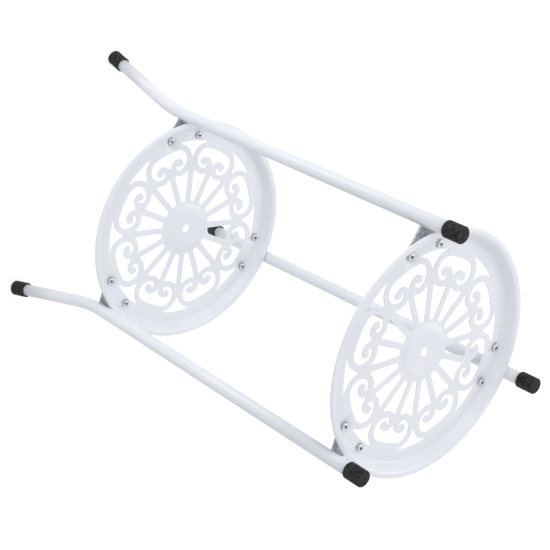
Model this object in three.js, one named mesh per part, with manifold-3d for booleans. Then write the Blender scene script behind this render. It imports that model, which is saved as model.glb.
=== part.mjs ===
// Two-tier round plant stand: three bent tube legs, two round trays with pierced scrollwork,
// flat brackets that carry the trays, machine screws with nuts, and rubber caps on every tube end.
// Units are millimetres. +Z points up and the floor is at z = 0. Leg 1 stands on the +Y side.

import * as THREE from 'three';
import Module from 'manifold-3d';

const wasm = await Module();
wasm.setup();

const DEG = Math.PI / 180;

// ---- Driving dimensions ------------------------------------------------------------------------

// Tiers
const LOWER_DECK_HEIGHT = 162.0;      // floor to the flat upper face of the lower tray
const TIER_SPACING = 445.7;           // lower deck to upper deck
const TRAY_TWIST = 4.54 * DEG;        // the upper tray is turned this far from the lower one
const LOWER_TRAY_TURN = -0.89 * DEG;  // the lower tray's screw pairs against the legs beside them

// Legs
const LEG_COUNT = 3;
const TUBE_RADIUS = 8;
const TUBE_WALL = 1.2;
const LEG_RADIUS_LOW = 160.6;         // stand axis to leg axis, level with the lower deck
const LEG_RADIUS_HIGH = 161.6;        // the same, level with the upper deck
const LEG_LEAN = 2.35 * DEG;          // how far each leg travels round the axis between the decks
const LEG_TOP_ABOVE_DECK = 48.6;      // upper deck to the tube's end inside its cap
const BEND_RADIUS = 183;
const FLARE_ANGLE = 16 * DEG;
const BEND_START_ABOVE_DECK = 2.4;    // lower deck to the start of the bend, along the leg
const FOOT_LENGTH = 114;              // straight part between the bend and the tube's lower end
const TUBE_SIDES = 18;
const BEND_STEPS = 5;

// Rubber caps
const CAP_RADIUS = 10;
const CAP_BORE_RADIUS = 8.3;
const CAP_LENGTH = 23;
const CAP_FLOOR = 2.8;
const CAP_CHAMFER = 1.1;
const CAP_MOUTH_CHAMFER = 0.4;
const CAP_END_GAP = 0.2;
const FOOT_FLAT_DEPTH = 1.0;          // the rubber edge is pressed flat where it meets the floor

// Trays, pressed from sheet. Bend radii are to the middle of the sheet.
const SHEET = 1.2;
const DECK_RADIUS = 134.4;            // the flat deck ends here and the rim starts to rise
const RING_INNER_RADIUS = 121.8;
const ARCH_TOP_RADIUS = 113;
const LIP_RADIUS = 151.6;
const LIP_HEIGHT = 13;                // deck to the level flange round the rim, both upper faces
const WALL_ANGLE = 60 * DEG;
const WALL_BEND_RADIUS = 4;
const LIP_CURL_RADIUS = 1.6;
const LIP_CURL_ANGLE = 70 * DEG;
const RIM_SIDES = 48;
const TONGUE = 0.8;                   // how far the rim and the hub reach into the deck's edge

// Tray centre: a low hub pressed up out of the sheet
const HUB_RADIUS = 38.3;
const HUB_FOOT_RADIUS = 36;
const HUB_RISE = 2.2;
const HUB_SLOPE = 18 * DEG;
const HUB_BEND_RADIUS = 8;
const CENTRE_HOLE_RADIUS = 5.6;
const HUB_SIDES = 36;

// Scrollwork: eight arches, each with a pair of mirrored scrolls, on sixteen spokes
const ARCH_COUNT = 8;
const ARCH_STEP = 2 * Math.PI / ARCH_COUNT;
const SCROLL_START = 14.72 * DEG;     // first arch's middle, from the middle of a screw pair
const BAR_WIDTH = 8.1;
const ARCH_CENTRE_DISTANCE = 98.7;
const ARCH_CENTRE_ANGLE = 8.8 * DEG;
const ARCH_CURVE_RADIUS = 18.4;       // the three scroll radii are to the middle of the bar
const RETURN_CURVE_RADIUS = 9.9;
const CURL_CURVE_RADIUS = 7.0;
const CURL_END_ANGLE = 46 * DEG;
const SCROLL_EYE_RADIUS = 5.2;
const ARCH_SPOKE_TIP = 92.2;          // spokes that end where two scrolls meet
const JUNCTION_SPOKE_TIP = 101.3;     // spokes that end between two arches
const INNER_CORNER = 2.0;
const HUB_CORNER = 1.6;
const FINE_CORNER = 1.0;
const CHORD_ERROR = 0.3;
const SAME_POINT = 0.01;
const WELD_GRID = 0.0001;

// Screws, nuts and brackets
const SCREW_CIRCLE_RADIUS = 129.7;
const SCREW_HALF_ANGLE = 9.98 * DEG;
const SCREW_HOLE_RADIUS = 2.8;
const SCREW_HOLE_SIDES = 8;
const SHANK_RADIUS = 2.5;
const SHANK_LENGTH = 10;
const SCREW_SIDES = 10;
const HEAD_RADIUS = 4.6;
const HEAD_SIDE_HEIGHT = 1.6;
const HEAD_SHOULDER_RADIUS = 3.3;
const HEAD_SHOULDER_HEIGHT = 2.8;
const HEAD_HEIGHT = 3.1;
const NUT_ACROSS_FLATS = 8;
const NUT_THICKNESS = 4;
const NUT_BORE_RADIUS = 2.95;
const BRACKET_THICKNESS = 2.5;
const BRACKET_CORNER_RADIUS = 6.6;
const BRACKET_CORNER_END = 175 * DEG; // where the round corner gives way to the inner edge
const BRACKET_CORNER_RUN = 4;
const BRACKET_INNER_EDGE = 121.6;
const BRACKET_NECK_HALF_WIDTH = 5.0;
const BRACKET_SADDLE_GAP = 0.3;
const BRACKET_SADDLE_WRAP = 158.0;    // how far out the two prongs of the saddle reach

// ---- Plane geometry helpers --------------------------------------------------------------------

function arcPoints(cx, cy, radius, from, to) {
  const step = 2 * Math.acos(1 - CHORD_ERROR / Math.max(radius, 2 * CHORD_ERROR));
  const count = Math.max(1, Math.ceil(Math.abs(to - from) / step));
  const points = [];
  for (let i = 0; i <= count; i += 1) {
    const angle = from + (to - from) * i / count;
    points.push(new THREE.Vector2(cx + radius * Math.cos(angle), cy + radius * Math.sin(angle)));
  }
  return points;
}

// An edge is a straight line or a circle. The opening lies to the left of a line, and inside or
// outside a circle as its side says.
function line(x, y, angle) {
  return { kind: 'line', x, y, angle };
}

function circle(x, y, radius, side) {
  return { kind: 'circle', x, y, radius, side };
}

function shifted(edge, distance) {
  if (edge.kind === 'line') {
    return line(
      edge.x - distance * Math.sin(edge.angle),
      edge.y + distance * Math.cos(edge.angle),
      edge.angle
    );
  }
  const change = edge.side === 'outside' ? distance : -distance;
  return circle(edge.x, edge.y, edge.radius + change, edge.side);
}

function crossings(a, b) {
  if (a.kind === 'line' && b.kind === 'line') {
    const det = Math.sin(b.angle - a.angle);
    const t = ((b.x - a.x) * Math.sin(b.angle) - (b.y - a.y) * Math.cos(b.angle)) / det;
    return [new THREE.Vector2(a.x + t * Math.cos(a.angle), a.y + t * Math.sin(a.angle))];
  }
  if (a.kind === 'circle' && b.kind === 'line') {
    return crossings(b, a);
  }
  if (a.kind === 'line') {
    const dx = Math.cos(a.angle);
    const dy = Math.sin(a.angle);
    const along = (b.x - a.x) * dx + (b.y - a.y) * dy;
    const footX = a.x + along * dx;
    const footY = a.y + along * dy;
    const off = Math.hypot(b.x - footX, b.y - footY);
    const half = Math.sqrt(Math.max(0, b.radius * b.radius - off * off));
    return [
      new THREE.Vector2(footX - half * dx, footY - half * dy),
      new THREE.Vector2(footX + half * dx, footY + half * dy)
    ];
  }
  const gap = Math.hypot(b.x - a.x, b.y - a.y);
  const along = (gap * gap + a.radius * a.radius - b.radius * b.radius) / (2 * gap);
  const half = Math.sqrt(Math.max(0, a.radius * a.radius - along * along));
  const ux = (b.x - a.x) / gap;
  const uy = (b.y - a.y) / gap;
  return [
    new THREE.Vector2(a.x + along * ux - half * uy, a.y + along * uy + half * ux),
    new THREE.Vector2(a.x + along * ux + half * uy, a.y + along * uy - half * ux)
  ];
}

function nearest(points, x, y) {
  const near = new THREE.Vector2(x, y);
  return points.reduce((best, p) => (p.distanceTo(near) < best.distanceTo(near) ? p : best));
}

function touchPoint(edge, centre) {
  if (edge.kind === 'line') {
    const along = (centre.x - edge.x) * Math.cos(edge.angle) + (centre.y - edge.y) * Math.sin(edge.angle);
    return new THREE.Vector2(edge.x + along * Math.cos(edge.angle), edge.y + along * Math.sin(edge.angle));
  }
  const away = Math.atan2(centre.y - edge.y, centre.x - edge.x);
  return new THREE.Vector2(edge.x + edge.radius * Math.cos(away), edge.y + edge.radius * Math.sin(away));
}

// A rounded corner between two edges, near the given point.
function corner(a, b, radius, x, y) {
  const centre = nearest(crossings(shifted(a, radius), shifted(b, radius)), x, y);
  return { centre, radius, start: touchPoint(a, centre), end: touchPoint(b, centre) };
}

function cornerPoints(c) {
  const from = Math.atan2(c.start.y - c.centre.y, c.start.x - c.centre.x);
  let to = Math.atan2(c.end.y - c.centre.y, c.end.x - c.centre.x);
  if (to < from) {
    to += 2 * Math.PI;
  }
  return arcPoints(c.centre.x, c.centre.y, c.radius, from, to);
}

// Part of a circle edge between two points: anticlockwise when the opening is inside it.
function edgePoints(edge, start, end) {
  const from = Math.atan2(start.y - edge.y, start.x - edge.x);
  let to = Math.atan2(end.y - edge.y, end.x - edge.x);
  if (edge.side === 'inside' && to < from) {
    to += 2 * Math.PI;
  }
  if (edge.side === 'outside' && to > from) {
    to -= 2 * Math.PI;
  }
  return arcPoints(edge.x, edge.y, edge.radius, from, to);
}

function joined(...lists) {
  const points = [];
  for (const p of lists.flat()) {
    const last = points[points.length - 1];
    if (!last || last.distanceTo(p) > SAME_POINT) {
      points.push(p);
    }
  }
  if (points[0].distanceTo(points[points.length - 1]) < SAME_POINT) {
    points.pop();
  }
  return points;
}

function turned(points, angle) {
  return points.map((p) => p.clone().rotateAround(new THREE.Vector2(), angle));
}

function mirrored(points) {
  return points.map((p) => new THREE.Vector2(p.x, -p.y)).reverse();
}

function ringPoints(x, y, radius, sides) {
  const points = [];
  for (let i = 0; i < sides; i += 1) {
    const angle = 2 * Math.PI * i / sides;
    points.push(new THREE.Vector2(x + radius * Math.cos(angle), y + radius * Math.sin(angle)));
  }
  return points;
}

// ---- Scrollwork openings -----------------------------------------------------------------------
// All three openings are drawn for the arch whose middle lies along +X.

const HALF_BAR = BAR_WIDTH / 2;
const ARCH_X = ARCH_CENTRE_DISTANCE * Math.cos(ARCH_CENTRE_ANGLE);
const ARCH_Y = ARCH_CENTRE_DISTANCE * Math.sin(ARCH_CENTRE_ANGLE);
const RETURN_X = ARCH_X - ARCH_CURVE_RADIUS + RETURN_CURVE_RADIUS;
const RETURN_Y = ARCH_Y;
const CURL_X = RETURN_X;
const CURL_Y = RETURN_Y - RETURN_CURVE_RADIUS + CURL_CURVE_RADIUS;
const EYE_OFFSET = CURL_CURVE_RADIUS + HALF_BAR - SCROLL_EYE_RADIUS;
const EYE_X = CURL_X + EYE_OFFSET * Math.cos(CURL_END_ANGLE);
const EYE_Y = CURL_Y + EYE_OFFSET * Math.sin(CURL_END_ANGLE);

// The heart-shaped opening inside one arch, with a scroll curling into it from each side.
function archOpening() {
  const archInside = circle(ARCH_X, ARCH_Y, ARCH_CURVE_RADIUS - HALF_BAR, 'inside');
  const curlInside = circle(CURL_X, CURL_Y, CURL_CURVE_RADIUS - HALF_BAR, 'inside');
  const curlOutside = circle(CURL_X, CURL_Y, CURL_CURVE_RADIUS + HALF_BAR, 'outside');
  const eye = circle(EYE_X, EYE_Y, SCROLL_EYE_RADIUS, 'outside');
  const tip = line(ARCH_SPOKE_TIP, 0, -Math.PI / 2);
  const throat = corner(curlInside, eye, FINE_CORNER, CURL_X + FINE_CORNER, CURL_Y - FINE_CORNER);
  const notch = corner(curlOutside, tip, FINE_CORNER, ARCH_SPOKE_TIP + FINE_CORNER, 2 * FINE_CORNER);
  const curlTop = new THREE.Vector2(
    CURL_X + curlOutside.radius * Math.cos(CURL_END_ANGLE),
    CURL_Y + curlOutside.radius * Math.sin(CURL_END_ANGLE)
  );
  const half = joined(
    arcPoints(0, 0, ARCH_TOP_RADIUS, 0, ARCH_CENTRE_ANGLE),
    arcPoints(ARCH_X, ARCH_Y, archInside.radius, ARCH_CENTRE_ANGLE, Math.PI),
    arcPoints(RETURN_X, RETURN_Y, RETURN_CURVE_RADIUS - HALF_BAR, Math.PI, 1.5 * Math.PI),
    edgePoints(curlInside, new THREE.Vector2(CURL_X, CURL_Y - curlInside.radius), throat.start),
    cornerPoints(throat),
    edgePoints(eye, throat.end, curlTop),
    edgePoints(curlOutside, curlTop, notch.start),
    cornerPoints(notch)
  );
  return joined(half, mirrored(half));
}

// The opening between an arch's middle spoke and the next spoke anticlockwise.
function spokeOpening() {
  const halfStep = ARCH_STEP / 2;
  const lowSpoke = line(0, HALF_BAR, 0);
  const highSpoke = line(
    HALF_BAR * Math.sin(halfStep),
    -HALF_BAR * Math.cos(halfStep),
    halfStep + Math.PI
  );
  const returnOutside = circle(RETURN_X, RETURN_Y, RETURN_CURVE_RADIUS + HALF_BAR, 'outside');
  const archOutside = circle(ARCH_X, ARCH_Y, ARCH_CURVE_RADIUS + HALF_BAR, 'outside');
  const hub = circle(0, 0, HUB_RADIUS, 'outside');
  const scrollLeft = new THREE.Vector2(ARCH_X - archOutside.radius, ARCH_Y);
  const a = corner(lowSpoke, returnOutside, INNER_CORNER, scrollLeft.x, HALF_BAR);
  const b = corner(archOutside, highSpoke, INNER_CORNER, scrollLeft.x, ARCH_Y + archOutside.radius / 2);
  const c = corner(highSpoke, hub, HUB_CORNER, HUB_RADIUS * Math.cos(halfStep), HUB_RADIUS * Math.sin(halfStep));
  const d = corner(hub, lowSpoke, HUB_CORNER, HUB_RADIUS, HALF_BAR);
  return joined(
    cornerPoints(a),
    edgePoints(returnOutside, a.end, scrollLeft),
    edgePoints(archOutside, scrollLeft, b.start),
    cornerPoints(b),
    cornerPoints(c),
    edgePoints(hub, c.end, d.start),
    cornerPoints(d)
  );
}

// The three-cornered opening between two arches and the ring, drawn about the +X axis.
function spandrelOpening() {
  const halfStep = ARCH_STEP / 2;
  const along = ARCH_CENTRE_DISTANCE * Math.cos(halfStep - ARCH_CENTRE_ANGLE);
  const aside = ARCH_CENTRE_DISTANCE * Math.sin(halfStep - ARCH_CENTRE_ANGLE);
  const arch = circle(along, aside, ARCH_CURVE_RADIUS + HALF_BAR, 'outside');
  const ring = circle(0, 0, RING_INNER_RADIUS, 'inside');
  const tip = line(JUNCTION_SPOKE_TIP, 0, -Math.PI / 2);
  const horn = corner(ring, arch, FINE_CORNER, RING_INNER_RADIUS, aside - HALF_BAR);
  const neck = corner(arch, tip, FINE_CORNER, JUNCTION_SPOKE_TIP + FINE_CORNER, FINE_CORNER);
  const half = joined(
    edgePoints(ring, new THREE.Vector2(RING_INNER_RADIUS, 0), horn.start),
    cornerPoints(horn),
    edgePoints(arch, horn.end, neck.start),
    cornerPoints(neck)
  );
  return joined(half, mirrored(half));
}

// ---- Solid helpers -----------------------------------------------------------------------------

function toSolid(geometry) {
  const clean = new THREE.BufferGeometry();
  clean.setAttribute('position', geometry.getAttribute('position').clone());
  if (geometry.index) {
    clean.setIndex(geometry.index.clone());
  }
  const merged = weld(clean);
  return new wasm.Manifold(new wasm.Mesh({
    numProp: 3,
    vertProperties: merged.positions,
    triVerts: merged.triangles
  }));
}

// Joins corner points that lie on the same spot and drops triangles without area.
function weld(geometry) {
  const position = geometry.getAttribute('position');
  const index = geometry.index ? geometry.index.array : [...Array(position.count).keys()];
  const seen = new Map();
  const coords = [];
  const remap = [];
  for (let i = 0; i < position.count; i += 1) {
    const key = [position.getX(i), position.getY(i), position.getZ(i)]
      .map((v) => Math.round(v / WELD_GRID))
      .join(' ');
    if (!seen.has(key)) {
      seen.set(key, coords.length / 3);
      coords.push(position.getX(i), position.getY(i), position.getZ(i));
    }
    remap.push(seen.get(key));
  }
  const triangles = [];
  for (let i = 0; i < index.length; i += 3) {
    const a = remap[index[i]];
    const b = remap[index[i + 1]];
    const c = remap[index[i + 2]];
    if (a !== b && b !== c && c !== a) {
      triangles.push(a, b, c);
    }
  }
  return { positions: new Float32Array(coords), triangles: new Uint32Array(triangles) };
}

function toGeometry(solid) {
  const mesh = solid.getMesh();
  const geometry = new THREE.BufferGeometry();
  geometry.setAttribute('position', new THREE.BufferAttribute(new Float32Array(mesh.vertProperties), 3));
  geometry.setIndex(new THREE.BufferAttribute(new Uint32Array(mesh.triVerts), 1));
  geometry.computeVertexNormals();
  return geometry;
}

// A shape turned about the Z axis from a list of [radius, height] corners, taken anticlockwise.
function lathe(profile, sides) {
  const points = profile.map(([radius, height]) => new THREE.Vector2(radius, height));
  if (THREE.ShapeUtils.area(points) < 0) {
    points.reverse();
  }
  points.push(points[0].clone());
  const geometry = new THREE.LatheGeometry(points, sides);
  geometry.rotateX(Math.PI / 2);
  return geometry;
}

function plate(outline, holes, bottom, top) {
  const shape = new THREE.Shape(outline);
  for (const hole of holes) {
    shape.holes.push(new THREE.Path(hole));
  }
  const geometry = new THREE.ExtrudeGeometry(shape, { depth: top - bottom, bevelEnabled: false });
  geometry.translate(0, 0, bottom);
  return geometry;
}

// ---- Trays -------------------------------------------------------------------------------------

// Follows the middle of a sheet's cross-section and returns its two faces, half the thickness to
// each side. A step is a straight run, or a bend round a radius by an angle, positive upwards.
function sheetFaces(radius, height, steps) {
  let x = radius;
  let y = height;
  let heading = 0;
  const above = [];
  const below = [];
  const mark = () => {
    const aside = SHEET / 2 * Math.sin(heading);
    const up = SHEET / 2 * Math.cos(heading);
    above.push([x - aside, y + up]);
    below.push([x + aside, y - up]);
  };
  mark();
  for (const step of steps) {
    const parts = step.parts ?? 1;
    for (let i = 0; i < parts; i += 1) {
      if (step.run) {
        x += step.run * Math.cos(heading);
        y += step.run * Math.sin(heading);
      } else {
        const next = heading + step.angle / parts;
        const bend = step.bend * Math.sign(step.angle);
        x += bend * (Math.sin(next) - Math.sin(heading));
        y += bend * (Math.cos(heading) - Math.cos(next));
        heading = next;
      }
      mark();
    }
  }
  return { above, below };
}

// The part of a rim or hub that lies inside the deck's edge, so that the two join.
function tongue(radius) {
  return [[radius, -SHEET / 4], [radius, -SHEET * 3 / 4]];
}

function rimProfile() {
  const bends = 2 * WALL_BEND_RADIUS;
  const wall = (LIP_HEIGHT - bends * (1 - Math.cos(WALL_ANGLE))) / Math.sin(WALL_ANGLE);
  const flangeStart = DECK_RADIUS + bends * Math.sin(WALL_ANGLE) + wall * Math.cos(WALL_ANGLE);
  const flangeEnd = LIP_RADIUS - (LIP_CURL_RADIUS + SHEET / 2) * Math.sin(LIP_CURL_ANGLE);
  const { above, below } = sheetFaces(DECK_RADIUS, -SHEET / 2, [
    { bend: WALL_BEND_RADIUS, angle: WALL_ANGLE, parts: 2 },
    { run: wall },
    { bend: WALL_BEND_RADIUS, angle: -WALL_ANGLE, parts: 2 },
    { run: flangeEnd - flangeStart },
    { bend: LIP_CURL_RADIUS, angle: -LIP_CURL_ANGLE, parts: 2 }
  ]);
  return [...above, ...below.reverse(), ...tongue(DECK_RADIUS - TONGUE).reverse()];
}

function hubProfile() {
  const bends = 2 * HUB_BEND_RADIUS;
  const slope = (HUB_RISE - bends * (1 - Math.cos(HUB_SLOPE))) / Math.sin(HUB_SLOPE);
  const flatEnd = HUB_FOOT_RADIUS - bends * Math.sin(HUB_SLOPE) - slope * Math.cos(HUB_SLOPE);
  const { above, below } = sheetFaces(CENTRE_HOLE_RADIUS, HUB_RISE - SHEET / 2, [
    { run: flatEnd - CENTRE_HOLE_RADIUS },
    { bend: HUB_BEND_RADIUS, angle: -HUB_SLOPE },
    { run: slope },
    { bend: HUB_BEND_RADIUS, angle: HUB_SLOPE }
  ]);
  return [...above, ...tongue(HUB_FOOT_RADIUS + TONGUE), ...below.reverse()];
}

function makeTray() {
  const openings = [ringPoints(0, 0, HUB_FOOT_RADIUS, HUB_SIDES)];
  for (let i = 0; i < ARCH_COUNT; i += 1) {
    const middle = SCROLL_START + ARCH_STEP * i;
    openings.push(turned(archOpening(), middle));
    openings.push(turned(spokeOpening(), middle));
    openings.push(turned(mirrored(spokeOpening()), middle));
    openings.push(turned(spandrelOpening(), middle + ARCH_STEP / 2));
  }
  for (let i = 0; i < LEG_COUNT; i += 1) {
    for (const side of [-1, 1]) {
      const angle = 2 * Math.PI * i / LEG_COUNT + side * SCREW_HALF_ANGLE;
      const x = SCREW_CIRCLE_RADIUS * Math.cos(angle);
      const y = SCREW_CIRCLE_RADIUS * Math.sin(angle);
      openings.push(ringPoints(x, y, SCREW_HOLE_RADIUS, SCREW_HOLE_SIDES));
    }
  }
  const outline = ringPoints(0, 0, DECK_RADIUS, RIM_SIDES);
  const deck = toSolid(plate(outline, openings, -SHEET, 0));
  const rim = toSolid(lathe(rimProfile(), RIM_SIDES));
  const hub = toSolid(lathe(hubProfile(), HUB_SIDES));
  return toGeometry(deck.add(rim).add(hub));
}

// ---- Legs --------------------------------------------------------------------------------------

const AT_LOW_DECK = new THREE.Vector3(LEG_RADIUS_LOW, 0, LOWER_DECK_HEIGHT);
const AT_HIGH_DECK = new THREE.Vector3(
  LEG_RADIUS_HIGH * Math.cos(LEG_LEAN),
  LEG_RADIUS_HIGH * Math.sin(LEG_LEAN),
  LOWER_DECK_HEIGHT + TIER_SPACING
);
const LEG_UP = AT_HIGH_DECK.clone().sub(AT_LOW_DECK).normalize();
const LEG_OUT = new THREE.Vector3(1, 0, 0).addScaledVector(LEG_UP, -LEG_UP.x).normalize();
const LEG_SIDE = new THREE.Vector3().crossVectors(LEG_UP, LEG_OUT).normalize();

// Stations down one leg: a point on the tube's axis and the direction square to it, outwards.
function legStations() {
  const top = AT_HIGH_DECK.clone().addScaledVector(LEG_UP, LEG_TOP_ABOVE_DECK);
  const bendStart = AT_LOW_DECK.clone().addScaledVector(LEG_UP, BEND_START_ABOVE_DECK);
  const bendCentre = bendStart.clone().addScaledVector(LEG_OUT, BEND_RADIUS);
  const stations = [{ point: top, out: LEG_OUT.clone() }];
  for (let i = 0; i <= BEND_STEPS; i += 1) {
    const angle = FLARE_ANGLE * i / BEND_STEPS;
    const out = LEG_OUT.clone().multiplyScalar(Math.cos(angle)).addScaledVector(LEG_UP, Math.sin(angle));
    stations.push({ point: bendCentre.clone().addScaledVector(out, -BEND_RADIUS), out });
  }
  const last = stations[stations.length - 1];
  const down = footDirection();
  stations.push({ point: last.point.clone().addScaledVector(down, FOOT_LENGTH), out: last.out.clone() });
  return stations;
}

function footDirection() {
  return LEG_UP.clone().multiplyScalar(-Math.cos(FLARE_ANGLE)).addScaledVector(LEG_OUT, Math.sin(FLARE_ANGLE));
}

function makeLeg() {
  const stations = legStations();
  const coords = [];
  for (const radius of [TUBE_RADIUS, TUBE_RADIUS - TUBE_WALL]) {
    for (const { point, out } of stations) {
      for (let k = 0; k < TUBE_SIDES; k += 1) {
        const angle = 2 * Math.PI * k / TUBE_SIDES;
        const p = point.clone();
        p.addScaledVector(out, radius * Math.cos(angle));
        p.addScaledVector(LEG_SIDE, radius * Math.sin(angle));
        coords.push(p.x, p.y, p.z);
      }
    }
  }
  const rings = stations.length;
  const at = (layer, ring, k) => (layer * rings + ring) * TUBE_SIDES + (k % TUBE_SIDES);
  const index = [];
  const quad = (a, b, c, d) => index.push(a, b, c, a, c, d);
  for (let k = 0; k < TUBE_SIDES; k += 1) {
    for (let r = 0; r < rings - 1; r += 1) {
      quad(at(0, r, k), at(0, r + 1, k), at(0, r + 1, k + 1), at(0, r, k + 1));
      quad(at(1, r, k), at(1, r, k + 1), at(1, r + 1, k + 1), at(1, r + 1, k));
    }
    quad(at(0, 0, k), at(0, 0, k + 1), at(1, 0, k + 1), at(1, 0, k));
    quad(at(0, rings - 1, k), at(1, rings - 1, k), at(1, rings - 1, k + 1), at(0, rings - 1, k + 1));
  }
  const geometry = new THREE.BufferGeometry();
  geometry.setAttribute('position', new THREE.BufferAttribute(new Float32Array(coords), 3));
  geometry.setIndex(index);
  geometry.computeVertexNormals();
  return geometry;
}

// ---- Rubber caps -------------------------------------------------------------------------------

// A cap with its mouth at z = 0 and its closed end at z = CAP_LENGTH.
function capGeometry() {
  return lathe([
    [CAP_BORE_RADIUS, 0],
    [CAP_RADIUS - CAP_MOUTH_CHAMFER, 0],
    [CAP_RADIUS, CAP_MOUTH_CHAMFER],
    [CAP_RADIUS, CAP_LENGTH - CAP_CHAMFER],
    [CAP_RADIUS - CAP_CHAMFER, CAP_LENGTH],
    [0, CAP_LENGTH],
    [0, CAP_LENGTH - CAP_FLOOR],
    [CAP_BORE_RADIUS, CAP_LENGTH - CAP_FLOOR]
  ], TUBE_SIDES);
}

// Slides a cap onto a tube end, with the cap's length along the given direction.
function placeCap(geometry, tubeEnd, direction) {
  const insideDepth = CAP_LENGTH - CAP_FLOOR - CAP_END_GAP;
  const mouth = tubeEnd.clone().addScaledVector(direction, -insideDepth);
  const side = LEG_SIDE.clone();
  const out = new THREE.Vector3().crossVectors(side, direction).normalize();
  const placed = new THREE.Matrix4().makeBasis(out, side, direction).setPosition(mouth);
  geometry.applyMatrix4(placed);
  return geometry;
}

function makeTopCap() {
  const stations = legStations();
  return placeCap(capGeometry(), stations[0].point, LEG_UP);
}

// The foot's cap is cut level a little above its lowest point, where it stands on the floor.
function makeFootCap() {
  const stations = legStations();
  const cap = placeCap(capGeometry(), stations[stations.length - 1].point, footDirection());
  cap.computeBoundingBox();
  const floor = cap.boundingBox.min.z + FOOT_FLAT_DEPTH;
  return toGeometry(toSolid(cap).trimByPlane([0, 0, 1], floor));
}

// ---- Brackets, screws and nuts -----------------------------------------------------------------

// A flat three-cornered plate under the deck. It lies in the tray's frame, with the middle of its
// screw pair along +X, and its narrow end is notched round the leg.
function makeBracket(legX, legY) {
  const screwX = SCREW_CIRCLE_RADIUS * Math.cos(SCREW_HALF_ANGLE);
  const screwY = SCREW_CIRCLE_RADIUS * Math.sin(SCREW_HALF_ANGLE);
  const neck = new THREE.Vector2(BRACKET_SADDLE_WRAP, BRACKET_NECK_HALF_WIDTH);
  const slope = Math.atan2(screwY - neck.y, neck.x - screwX);
  const lift = Math.asin(BRACKET_CORNER_RADIUS / Math.hypot(neck.x - screwX, screwY - neck.y));
  const cornerStart = Math.PI / 2 - slope + lift;
  const half = [
    neck,
    ...arcPoints(screwX, screwY, BRACKET_CORNER_RADIUS, cornerStart, BRACKET_CORNER_END),
    new THREE.Vector2(BRACKET_INNER_EDGE, screwY - BRACKET_CORNER_RUN)
  ];
  const holes = [
    ringPoints(screwX, screwY, SCREW_HOLE_RADIUS, SCREW_HOLE_SIDES),
    ringPoints(screwX, -screwY, SCREW_HOLE_RADIUS, SCREW_HOLE_SIDES)
  ];
  const body = toSolid(plate(joined(half, mirrored(half)), holes, 0, BRACKET_THICKNESS));
  const saddleRadius = TUBE_RADIUS + BRACKET_SADDLE_GAP;
  const notch = new THREE.CylinderGeometry(saddleRadius, saddleRadius, 4 * BRACKET_THICKNESS, TUBE_SIDES);
  notch.rotateX(Math.PI / 2);
  notch.translate(legX, legY, 0);
  return toGeometry(body.subtract(toSolid(notch)));
}

// Head underside at z = 0.
function screwGeometry() {
  return lathe([
    [0, -SHANK_LENGTH],
    [SHANK_RADIUS, -SHANK_LENGTH],
    [SHANK_RADIUS, 0],
    [HEAD_RADIUS, 0],
    [HEAD_RADIUS, HEAD_SIDE_HEIGHT],
    [HEAD_SHOULDER_RADIUS, HEAD_SHOULDER_HEIGHT],
    [0, HEAD_HEIGHT]
  ], SCREW_SIDES);
}

// Upper face at z = 0.
function nutGeometry() {
  const outline = ringPoints(0, 0, NUT_ACROSS_FLATS / Math.sqrt(3), 6);
  const bore = ringPoints(0, 0, NUT_BORE_RADIUS, 6);
  return plate(outline, [bore], -NUT_THICKNESS, 0);
}

// ---- Assembly ----------------------------------------------------------------------------------

const WHITE_PAINT = { color: 0xf1f2f4, metalness: 0.0, roughness: 0.35 };
const BLACK_RUBBER = { color: 0x1b1c1e, metalness: 0.0, roughness: 0.8 };
const ZINC_STEEL = { color: 0xb9bcc0, metalness: 0.9, roughness: 0.35 };
const GREY_STEEL = { color: 0x9a9ea6, metalness: 0.7, roughness: 0.45 };

const group = new THREE.Group();
group.name = 'two_tier_plant_stand';

function addPiece(name, geometry, look) {
  const mesh = new THREE.Mesh(geometry, new THREE.MeshStandardMaterial(look));
  mesh.name = name;
  group.add(mesh);
}

const FIRST_LEG_ANGLE = 90 * DEG;
const legSource = makeLeg();
const topCapSource = makeTopCap();
const footCapSource = makeFootCap();
for (let i = 0; i < LEG_COUNT; i += 1) {
  const angle = FIRST_LEG_ANGLE + 2 * Math.PI * i / LEG_COUNT;
  addPiece(`leg_${i + 1}`, legSource.clone().rotateZ(angle), WHITE_PAINT);
  addPiece(`top_cap_${i + 1}`, topCapSource.clone().rotateZ(angle), BLACK_RUBBER);
  addPiece(`foot_cap_${i + 1}`, footCapSource.clone().rotateZ(angle), BLACK_RUBBER);
}

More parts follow.
